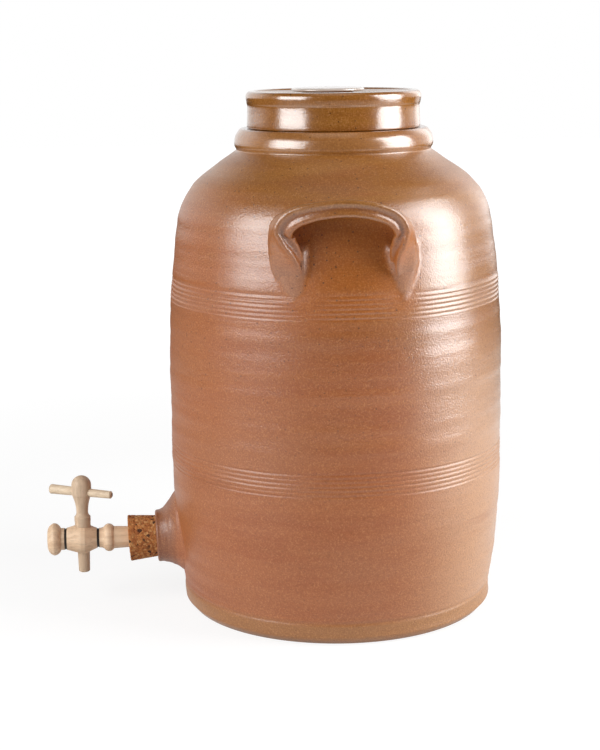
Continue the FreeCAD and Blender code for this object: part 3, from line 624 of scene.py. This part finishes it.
class Paint(Shading):
    """A material, with its patterns, masks and colours laid over each other."""

    def __init__(self, name):
        self.material = bpy.data.materials.new(name)
        self.material.use_nodes = True
        super().__init__(self.material.node_tree, "Object")
        self.shader = self.tree.nodes["Principled BSDF"]

    def scaled(self, scale, shift=(0, 0, 0)):
        made = self.node("ShaderNodeMapping")
        self.feed(made.inputs["Vector"], self.place)
        made.inputs["Scale"].default_value = scale
        made.inputs["Location"].default_value = shift
        return made.outputs[0]

    def noise(self, scale, detail=3.0, rough=0.55, stretch=(1, 1, 1), warp=0.0, shift=(0, 0, 0)):
        made = self.node("ShaderNodeTexNoise")
        self.feed(made.inputs["Vector"], self.scaled(stretch, shift))
        made.inputs["Scale"].default_value = scale
        made.inputs["Detail"].default_value = detail
        made.inputs["Roughness"].default_value = rough
        made.inputs["Distortion"].default_value = warp
        return made.outputs["Fac"]

    def cells(self, scale, feature="F1", stretch=(1, 1, 1)):
        """A pattern of cells: the whole node, for its distances and its chance colours."""
        made = self.node("ShaderNodeTexVoronoi", feature=feature)
        self.feed(made.inputs["Vector"], self.scaled(stretch))
        made.inputs["Scale"].default_value = scale
        return made

    def channels(self, colour):
        made = self.node("ShaderNodeSeparateColor")
        self.feed(made.inputs[0], colour)
        return made.outputs

    def ramp(self, source, low, high, bottom=0.0, top=1.0):
        """source from low..high to bottom..top, softly, clamped."""
        made = self.node("ShaderNodeMapRange", interpolation_type="SMOOTHSTEP")
        names = ("Value", "From Min", "From Max", "To Min", "To Max")
        for name, setting in zip(names, (source, low, high, bottom, top)):
            self.feed(made.inputs[name], setting)
        return made.outputs[0]

    def mix(self, factor, a, b):
        """a where the factor is 0, b where it is 1."""
        made = self.node("ShaderNodeMix", data_type="RGBA")
        self.feed(made.inputs[0], factor)
        self.feed(made.inputs[6], a)
        self.feed(made.inputs[7], b)
        return made.outputs[2]

    def attribute(self, name):
        return self.node("ShaderNodeAttribute", attribute_name=name).outputs["Fac"]

    def bump(self, height, strength, distance, under=None):
        made = self.node("ShaderNodeBump")
        self.feed(made.inputs["Height"], height)
        made.inputs["Strength"].default_value = strength
        made.inputs["Distance"].default_value = distance
        if under is not None:
            self.feed(made.inputs["Normal"], under)
        return made.outputs[0]

    def finish(self, **sockets):
        for key, source in sockets.items():
            self.feed(self.shader.inputs[key.replace("_", " ")], source)
        return self.material


# ---------------------------------------------------------------- stoneware

class Clay(Paint):
    """The stoneware's paint, with the fields that its colour, sheen and relief share."""

    def __init__(self):
        super().__init__("stoneware")
        self.x, _, self.z = self.axes()
        self.cloud = self.noise(7.0, 3, 0.5, (1, 1, 1.8))
        self.streak = self.noise(6.0, 4, 0.6, (1, 1, 11), 0.4)
        self.fine_streak = self.noise(9.0, 3, 0.6, (1, 1, 30), 0.2, (0.3, 0.1, 0))
        tilted = self.maths("MULTIPLY_ADD", self.x, 0.55, self.z)
        uneven = self.maths("MULTIPLY_ADD", self.fine_streak, 0.05, tilted)
        self.level = self.maths("MULTIPLY_ADD", self.cloud, 0.16, uneven)
        # sheltered: 1 under the ears, where the glaze lies thin and painted shade deepens the colour.
        in_height = self.times(self.ramp(self.z, 0.245, 0.28), self.ramp(self.z, 0.36, 0.33))
        self.sheltered = self.times(self.ramp(self.maths("ABSOLUTE", self.x), 0.075, 0.035), in_height)


def clay_body(paint):
    """Pink clay low on the pot, paler at its right, that turns to ochre towards the top; the paler patch low
    on its right is a painted sheen.
    """
    pink = paint.mix(paint.ramp(paint.streak, 0.32, 0.68), (0.39, 0.112, 0.024), (0.33, 0.080, 0.013))
    pink = paint.mix(paint.ramp(paint.cloud, 0.35, 0.7), pink, (0.36, 0.108, 0.026))
    pink = paint.mix(paint.ramp(paint.x, 0.02, 0.12, 0.0, 0.75), pink, (0.36, 0.142, 0.026))
    # pale: a painted sheen, lighter low on the right side of the wall.
    pale = paint.times(paint.ramp(paint.x, 0.03, 0.115, 0.0, 0.42), paint.ramp(paint.z, 0.29, 0.21))
    pink = paint.mix(pale, pink, (0.62, 0.40, 0.26))
    ochre = paint.mix(paint.ramp(paint.streak, 0.3, 0.7), (0.335, 0.128, 0.016), (0.275, 0.090, 0.008))
    return paint.mix(paint.ramp(paint.level, 0.335, 0.465), pink, ochre)


def clay_places(paint, body):
    """Deeper under the ears, partly the glaze's own orange and partly painted shade; paler at the collar and
    foot, rusty in streaks, dark at the boss's mouth; painted shade in the strap's groove.
    """
    # Under the ears the deeper orange is partly the glaze's own and partly painted shade.
    body = paint.mix(paint.times(paint.sheltered, 0.8), body, (0.40, 0.105, 0.005))
    collar = paint.times(paint.ramp(paint.z, 0.387, 0.392, 0.0, 0.35), paint.ramp(paint.z, 0.406, 0.4035))
    body = paint.mix(collar, body, (0.48, 0.22, 0.07))
    body = paint.mix(paint.ramp(paint.z, 0.022, 0.014, 0.0, 0.7), body, (0.33, 0.145, 0.035))
    rust = paint.ramp(paint.noise(5.0, 4, 0.6, (1, 1, 9), 0.3, (1.7, 0.4, 0.2)), 0.56, 0.74)
    body = paint.mix(paint.times(rust, 0.45), body, (0.30, 0.076, 0.008))
    body = paint.mix(paint.times(paint.ramp(paint.fine_streak, 0.5, 0.75), 0.12), body, (0.45, 0.19, 0.07))
    mouth = paint.times(paint.ramp(paint.x, -0.136, -0.146, 0.0, 0.6), paint.ramp(paint.z, 0.13, 0.11))
    body = paint.mix(mouth, body, (0.20, 0.075, 0.035))
    tone = paint.attribute("smeared")
    body = paint.mix(paint.maths("MULTIPLY", tone, 0.45, clamp=True), body, (0.36, 0.19, 0.12))
    # Below 0, in the strap's groove: painted shade, darker in the hollow.
    return paint.mix(paint.maths("MULTIPLY", tone, -0.6, clamp=True), body, (0.20, 0.045, 0.003))


def clay_specks(paint, body):
    """Iron specks of two sizes, more of them higher up, and a fine grain; the knob and the rim's top are
    painted pale, a painted reflection.
    """
    specks = paint.cells(300.0)
    chance = paint.channels(specks.outputs["Color"])
    size = paint.ramp(chance[0], 0.5, 1.0, -0.05, 0.24)
    speck = paint.ramp(paint.maths("SUBTRACT", specks.outputs["Distance"], size), -0.05, 0.03, 0.8, 0.0)
    speck = paint.times(speck, paint.ramp(paint.z, 0.10, 0.32, 0.35, 1.0))
    body = paint.mix(speck, body, (0.07, 0.022, 0.006))
    fleck = paint.ramp(paint.cells(640.0).outputs["Distance"], 0.14, 0.30, 0.42, 0.0)
    fleck = paint.times(fleck, paint.ramp(paint.z, 0.12, 0.34, 0.5, 1.0))
    body = paint.mix(fleck, body, (0.12, 0.04, 0.01))
    grain = paint.noise(760.0, 3, 0.7)
    body = paint.mix(paint.ramp(grain, 0.34, 0.5, 0.34, 0.0), body, (0.17, 0.052, 0.008))
    body = paint.mix(paint.ramp(grain, 0.5, 0.68, 0.0, 0.34), body, (0.66, 0.31, 0.11))
    # The knob and the top of the rim: painted pale, a painted reflection of the white surroundings.
    return paint.mix(paint.ramp(paint.z, 0.4353, 0.4357), body, (0.66, 0.56, 0.49))


def clay_roughness(paint):
    """Smoother towards the top, and smoothest on the collar and lid."""
    rough = paint.ramp(paint.z, 0.10, 0.36, 0.47, 0.40)
    rough = paint.maths("ADD", rough, paint.ramp(paint.streak, 0.3, 0.7, -0.05, 0.06))
    return paint.maths("ADD", rough, paint.ramp(paint.z, 0.375, 0.405, 0.0, -0.20))


def clay_glaze(paint):
    """Where the salt glaze lies: thicker towards the top right, thin below the collar and under the ears."""
    thick = paint.ramp(paint.maths("MULTIPLY_ADD", paint.x, 0.5, paint.level), 0.22, 0.48, -0.1, 0.8)
    glaze = paint.maths("MULTIPLY_ADD", paint.cloud, 0.4, thick, clamp=True)
    matt = paint.times(paint.ramp(paint.z, 0.335, 0.365), paint.ramp(paint.z, 0.392, 0.384))
    matt = paint.maths("MAXIMUM", matt, paint.sheltered)
    return paint.times(glaze, paint.maths("MULTIPLY_ADD", matt, -0.65, 1.0))


def clay_relief(paint):
    """Fine turning lines, soft lumps and orange peel, which is fainter on the collar and lid."""
    peel = paint.times(paint.noise(760.0, 2, 0.5), paint.ramp(paint.z, 0.383, 0.400, 1.0, 0.22))
    lumps = paint.noise(70.0, 3, 0.55, (1, 1, 2.2), 0.5)
    relief = paint.bump(paint.fine_streak, 0.10, 0.0010)
    relief = paint.bump(lumps, 0.22, 0.0009, relief)
    return paint.bump(peel, 0.6, 0.0004, relief)


def stoneware():
    """Salt-glazed clay: pink below, ochre towards the top, streaks round it, iron specks, fine peel."""
    paint = Clay()
    body = clay_specks(paint, clay_places(paint, clay_body(paint)))
    relief = clay_relief(paint)
    grit = paint.noise(1500.0, 1, 0.5)
    return paint.finish(
        Base_Color=body, Roughness=clay_roughness(paint), Normal=paint.bump(grit, 0.08, 0.0002, relief),
        IOR=1.5, Specular_IOR_Level=0.8,
        Coat_Weight=clay_glaze(paint), Coat_Roughness=0.2, Coat_IOR=1.8, Coat_Normal=relief)


# ---------------------------------------------------------------- wood and cork

ALONG_GRAIN = 0.09
SCORCHED = (0.02, 0.012, 0.008)
PITH = (0.09, 0.025, 0.008)
RINGS = ((-0.2353, -0.2337), (-0.2075, -0.2059))


def shaded(colour, share):
    return tuple(share * c for c in colour)


def scorched_rings(paint, rings):
    """A mask of bands across X, each from its low to its high end in metres."""
    x, _, _ = paint.axes()
    soft = 0.0005
    masks = []
    for low, high in rings:
        masks.append(paint.times(paint.ramp(x, low - soft, low), paint.ramp(x, high, high + soft, 1.0, 0.0)))
    mask = masks[0]
    for other in masks[1:]:
        mask = paint.maths("MAXIMUM", mask, other)
    return mask


def pith_spot(paint, place):
    """A mask of one small round spot."""
    away = paint.node("ShaderNodeVectorMath", operation="DISTANCE")
    paint.feed(away.inputs[0], paint.place)
    away.inputs[1].default_value = place
    return paint.ramp(away.outputs["Value"], 0.0014, 0.0024, 0.9, 0.0)


def wood(name, along, pale, dark, rings=(), pith=None):
    """Bare turned beech with its grain along one axis, rings scorched black, and one dark spot of pith."""
    paint = Paint(name)
    stretch = tuple(ALONG_GRAIN if axis == along else 1 for axis in "xyz")
    grain = paint.noise(520.0, 4, 0.6, stretch, 0.6)
    broad = paint.noise(110.0, 3, 0.5, stretch, 1.2)
    fleck = paint.cells(900.0, stretch=tuple(0.35 if s < 1 else 1 for s in stretch))
    body = paint.mix(paint.ramp(broad, 0.35, 0.65), pale, dark)
    body = paint.mix(paint.ramp(grain, 0.45, 0.75, 0.0, 0.55), body, shaded(dark, 0.72))
    body = paint.mix(paint.ramp(fleck.outputs["Distance"], 0.1, 0.25, 0.35, 0.0), body, shaded(dark, 0.6))
    if rings:
        body = paint.mix(scorched_rings(paint, rings), body, SCORCHED)
    if pith is not None:
        body = paint.mix(pith_spot(paint, pith), body, PITH)
    normal = paint.bump(grain, 0.25, 0.0003)
    return paint.finish(Base_Color=body, Roughness=paint.ramp(broad, 0.3, 0.7, 0.5, 0.62), Normal=normal)


def pressed_cork():
    """Granules of cork: tan to red-brown grains with dark flecks between."""
    paint = Paint("pressed_cork")
    size, stretch = 430.0, (1.0, 0.75, 1.25)
    tint = paint.channels(paint.cells(size, stretch=stretch).outputs["Color"])
    edge = paint.cells(size, "DISTANCE_TO_EDGE", stretch).outputs["Distance"]
    mottle = paint.noise(900.0, 3, 0.6)
    body = paint.mix(paint.ramp(tint[0], 0.1, 0.9), (0.58, 0.225, 0.06), (0.38, 0.115, 0.028))
    body = paint.mix(paint.ramp(tint[1], 0.72, 0.8), body, (0.64, 0.31, 0.11))
    body = paint.mix(paint.ramp(tint[2], 0.94, 0.96), body, (0.07, 0.025, 0.01))
    body = paint.mix(paint.ramp(edge, 0.0, 0.08, 0.4, 0.0), body, (0.2, 0.075, 0.025))
    body = paint.mix(paint.ramp(mottle, 0.4, 0.7, 0.0, 0.4), body, (0.18, 0.065, 0.025))
    normal = paint.bump(paint.ramp(edge, 0.0, 0.15), 0.5, 0.0003, paint.bump(mottle, 0.4, 0.0004))
    return paint.finish(Base_Color=body, Roughness=0.85, Normal=normal)


clay = stoneware()
for piece in (pot_piece, ear_front, ear_back, boss_piece, lid_cover, lid_knob):
    piece.data.materials.append(clay)
cork_piece.data.materials.append(pressed_cork())
peg = points_of(frame["nodes"]["tap_handle"])
peg_end = tuple(peg[peg[:, 0] > peg[:, 0].max() - 0.8 * MM].mean(axis=0))
finishes = {
    "tap_barrel": wood("beech_barrel", "x", (0.86, 0.63, 0.43), (0.72, 0.49, 0.31), RINGS),
    "tap_key": wood("beech_key", "z", (0.70, 0.52, 0.365), (0.57, 0.41, 0.275)),
    "tap_handle": wood("beech_handle", "x", (0.80, 0.64, 0.46), (0.68, 0.515, 0.355), pith=peg_end),
}
for node, finish in finishes.items():
    piece = frame["nodes"][node]
    piece.data.materials.clear()
    piece.data.materials.append(finish)


# ---------------------------------------------------------------- stage, light and camera, in metres

FLOOR_REACH, FLOOR_LEVEL = 6.0, -0.0004

# The table: where it starts to fade and how far that takes, how pale it is by the jug, how much of that
# it loses, and how pale the eye sees it. The glow: its strength, its share by the jug, what far off adds
# to that, and its share in gloss.
TABLE_EDGE, TABLE_FADE = 0.55, 0.9
TABLE_TONE, TABLE_LOSS, TABLE_SEEN = 0.7, 0.6, 0.86
GLOW, GLOW_SHARE, GLOW_FAR, GLOW_IN_GLOSS = 1.1, 0.75, 0.25, 0.6

# The backdrop: how far round it starts and how high it reaches, each with its softness.
BACKDROP_START, BACKDROP_SOFT = 0.05, 0.5
BACKDROP_HIGH, BACKDROP_HIGH_SOFT = 0.75, 0.3

# Lamps: azimuth to the right of the camera and elevation in degrees, distance, width, height, and watts.
TOWARDS_CAMERA = -96.2
LAMP_AIM = Vector((0, 0, 0.2))
LAMPS = {
    "key_left": (-55, 20, 1.4, 0.92, 0.9, 16),
    "key_right": (79, 21, 1.3, 0.84, 1.25, 24),
    "edge_right": (146, 18, 1.5, 0.5, 1.2, 1.6),
    "top": (0, 84, 1.6, 1.0, 1.0, 1.2),
}

CAMERA_PLACE = (-0.1498, -1.3768, 0.4816)
CAMERA_HEADING, CAMERA_PITCH, CAMERA_ROLL = -5.0, 90 - 11.69, -0.67
LENS_LENGTH, LENS_SHIFT, SENSOR = 79.2, -0.0016, 36.0


def table_white():
    """White that fades away from the jug to a dim floor; to the eye it stays white, with a faint shadow."""
    material = bpy.data.materials.new("stage_white")
    material.use_nodes = True
    material.node_tree.nodes.clear()
    shade = Shading(material.node_tree, "Object")
    x, y, _ = shade.axes()
    away = shade.maths("SQRT", shade.maths("ADD", shade.times(x, x), shade.times(y, y)))
    fade = shade.maths("DIVIDE", shade.maths("SUBTRACT", away, TABLE_EDGE), TABLE_FADE, clamp=True)
    path = shade.node("ShaderNodeLightPath").outputs
    seen = shade.maths("MAXIMUM", path["Is Camera Ray"], path["Is Transmission Ray"])
    shine = shade.times(path["Is Glossy Ray"], shade.maths("SUBTRACT", 1.0, fade))
    level = shade.maths("SUBTRACT", TABLE_TONE, shade.times(fade, TABLE_LOSS))
    level = shade.maths("MAXIMUM", level, shade.times(seen, TABLE_SEEN))
    tint = shade.node("ShaderNodeCombineColor")
    for socket in tint.inputs:
        shade.feed(socket, level)
    plain = shade.node("ShaderNodeBsdfDiffuse")
    shade.feed(plain.inputs["Color"], tint.outputs[0])
    glow = shade.node("ShaderNodeEmission")
    glow.inputs["Strength"].default_value = GLOW
    share = shade.times(shade.maths("MULTIPLY_ADD", fade, GLOW_FAR, GLOW_SHARE), seen)
    mix = shade.node("ShaderNodeMixShader")
    shade.feed(mix.inputs[0], shade.maths("MAXIMUM", share, shade.times(shine, GLOW_IN_GLOSS)))
    shade.feed(mix.inputs[1], plain.outputs[0])
    shade.feed(mix.inputs[2], glow.outputs[0])
    shade.feed(shade.node("ShaderNodeOutputMaterial").inputs[0], mix.outputs[0])
    return material


def stage():
    """The table, a flat square just under the jug."""
    mesh = bpy.data.meshes.new("floor")
    turns = ((-1, -1), (1, -1), (1, 1), (-1, 1))
    corners = [(FLOOR_REACH * x, FLOOR_REACH * y, FLOOR_LEVEL) for x, y in turns]
    mesh.from_pydata(corners, [], [(0, 1, 2, 3)])
    mesh.materials.append(table_white())
    floor = bpy.data.objects.new("floor", mesh)
    scene.collection.objects.link(floor)


def world(diffuse, gloss, backdrop):
    """White to the eye; a dim studio in gloss, with a pale backdrop behind the jug."""
    made = bpy.data.worlds.new("studio")
    scene.world = made
    made.use_nodes = True
    shade = Shading(made.node_tree, "Generated")
    path = shade.node("ShaderNodeLightPath").outputs
    _, y, z = shade.axes()
    behind = shade.maths("SUBTRACT", y, BACKDROP_START)
    behind = shade.maths("DIVIDE", behind, BACKDROP_SOFT, clamp=True)
    low = shade.maths("SUBTRACT", BACKDROP_HIGH, shade.maths("ABSOLUTE", z))
    low = shade.maths("DIVIDE", low, BACKDROP_HIGH_SOFT, clamp=True)
    wall = shade.times(shade.times(behind, low), backdrop)
    shine = shade.times(path["Is Glossy Ray"], shade.maths("MAXIMUM", wall, gloss))
    fill = shade.times(path["Is Diffuse Ray"], diffuse)
    seen = shade.maths("MAXIMUM", path["Is Camera Ray"], path["Is Transmission Ray"])
    back = made.node_tree.nodes["Background"].inputs
    shade.feed(back["Strength"], shade.maths("MAXIMUM", shade.maths("MAXIMUM", shine, fill), seen))
    shade.feed(back["Color"], (1, 1, 1))


def softbox(name, azimuth, elevation, distance, width, height, power):
    """A rectangular lamp that faces the jug."""
    lamp = bpy.data.lights.new(name, "AREA")
    lamp.shape = "RECTANGLE"
    lamp.size, lamp.size_y = width, height
    lamp.energy = power
    item = bpy.data.objects.new(name, lamp)
    scene.collection.objects.link(item)
    turn, rise = math.radians(TOWARDS_CAMERA + azimuth), math.radians(elevation)
    way = Vector((math.cos(turn) * math.cos(rise), math.sin(turn) * math.cos(rise), math.sin(rise)))
    item.location = LAMP_AIM + distance * way
    item.rotation_euler = (item.location - LAMP_AIM).to_track_quat("Z", "Y").to_euler()


def camera():
    """The camera, in front of the jug and a little to its left, looking down."""
    lens = bpy.data.cameras.new("camera")
    lens.lens, lens.sensor_width = LENS_LENGTH, SENSOR
    lens.shift_x = LENS_SHIFT
    item = bpy.data.objects.new("camera", lens)
    scene.collection.objects.link(item)
    item.location = CAMERA_PLACE
    heading, pitch, roll = (math.radians(a) for a in (CAMERA_HEADING, CAMERA_PITCH, CAMERA_ROLL))
    item.matrix_world = (Matrix.Translation(item.location) @ Matrix.Rotation(heading, 4, "Z")
                         @ Matrix.Rotation(pitch, 4, "X") @ Matrix.Rotation(roll, 4, "Z"))
    scene.camera = item


stage()
world(diffuse=0.17, gloss=0.04, backdrop=1.0)
for name, numbers in LAMPS.items():
    softbox(name, *numbers)
camera()
scene.view_settings.view_transform = "Standard"
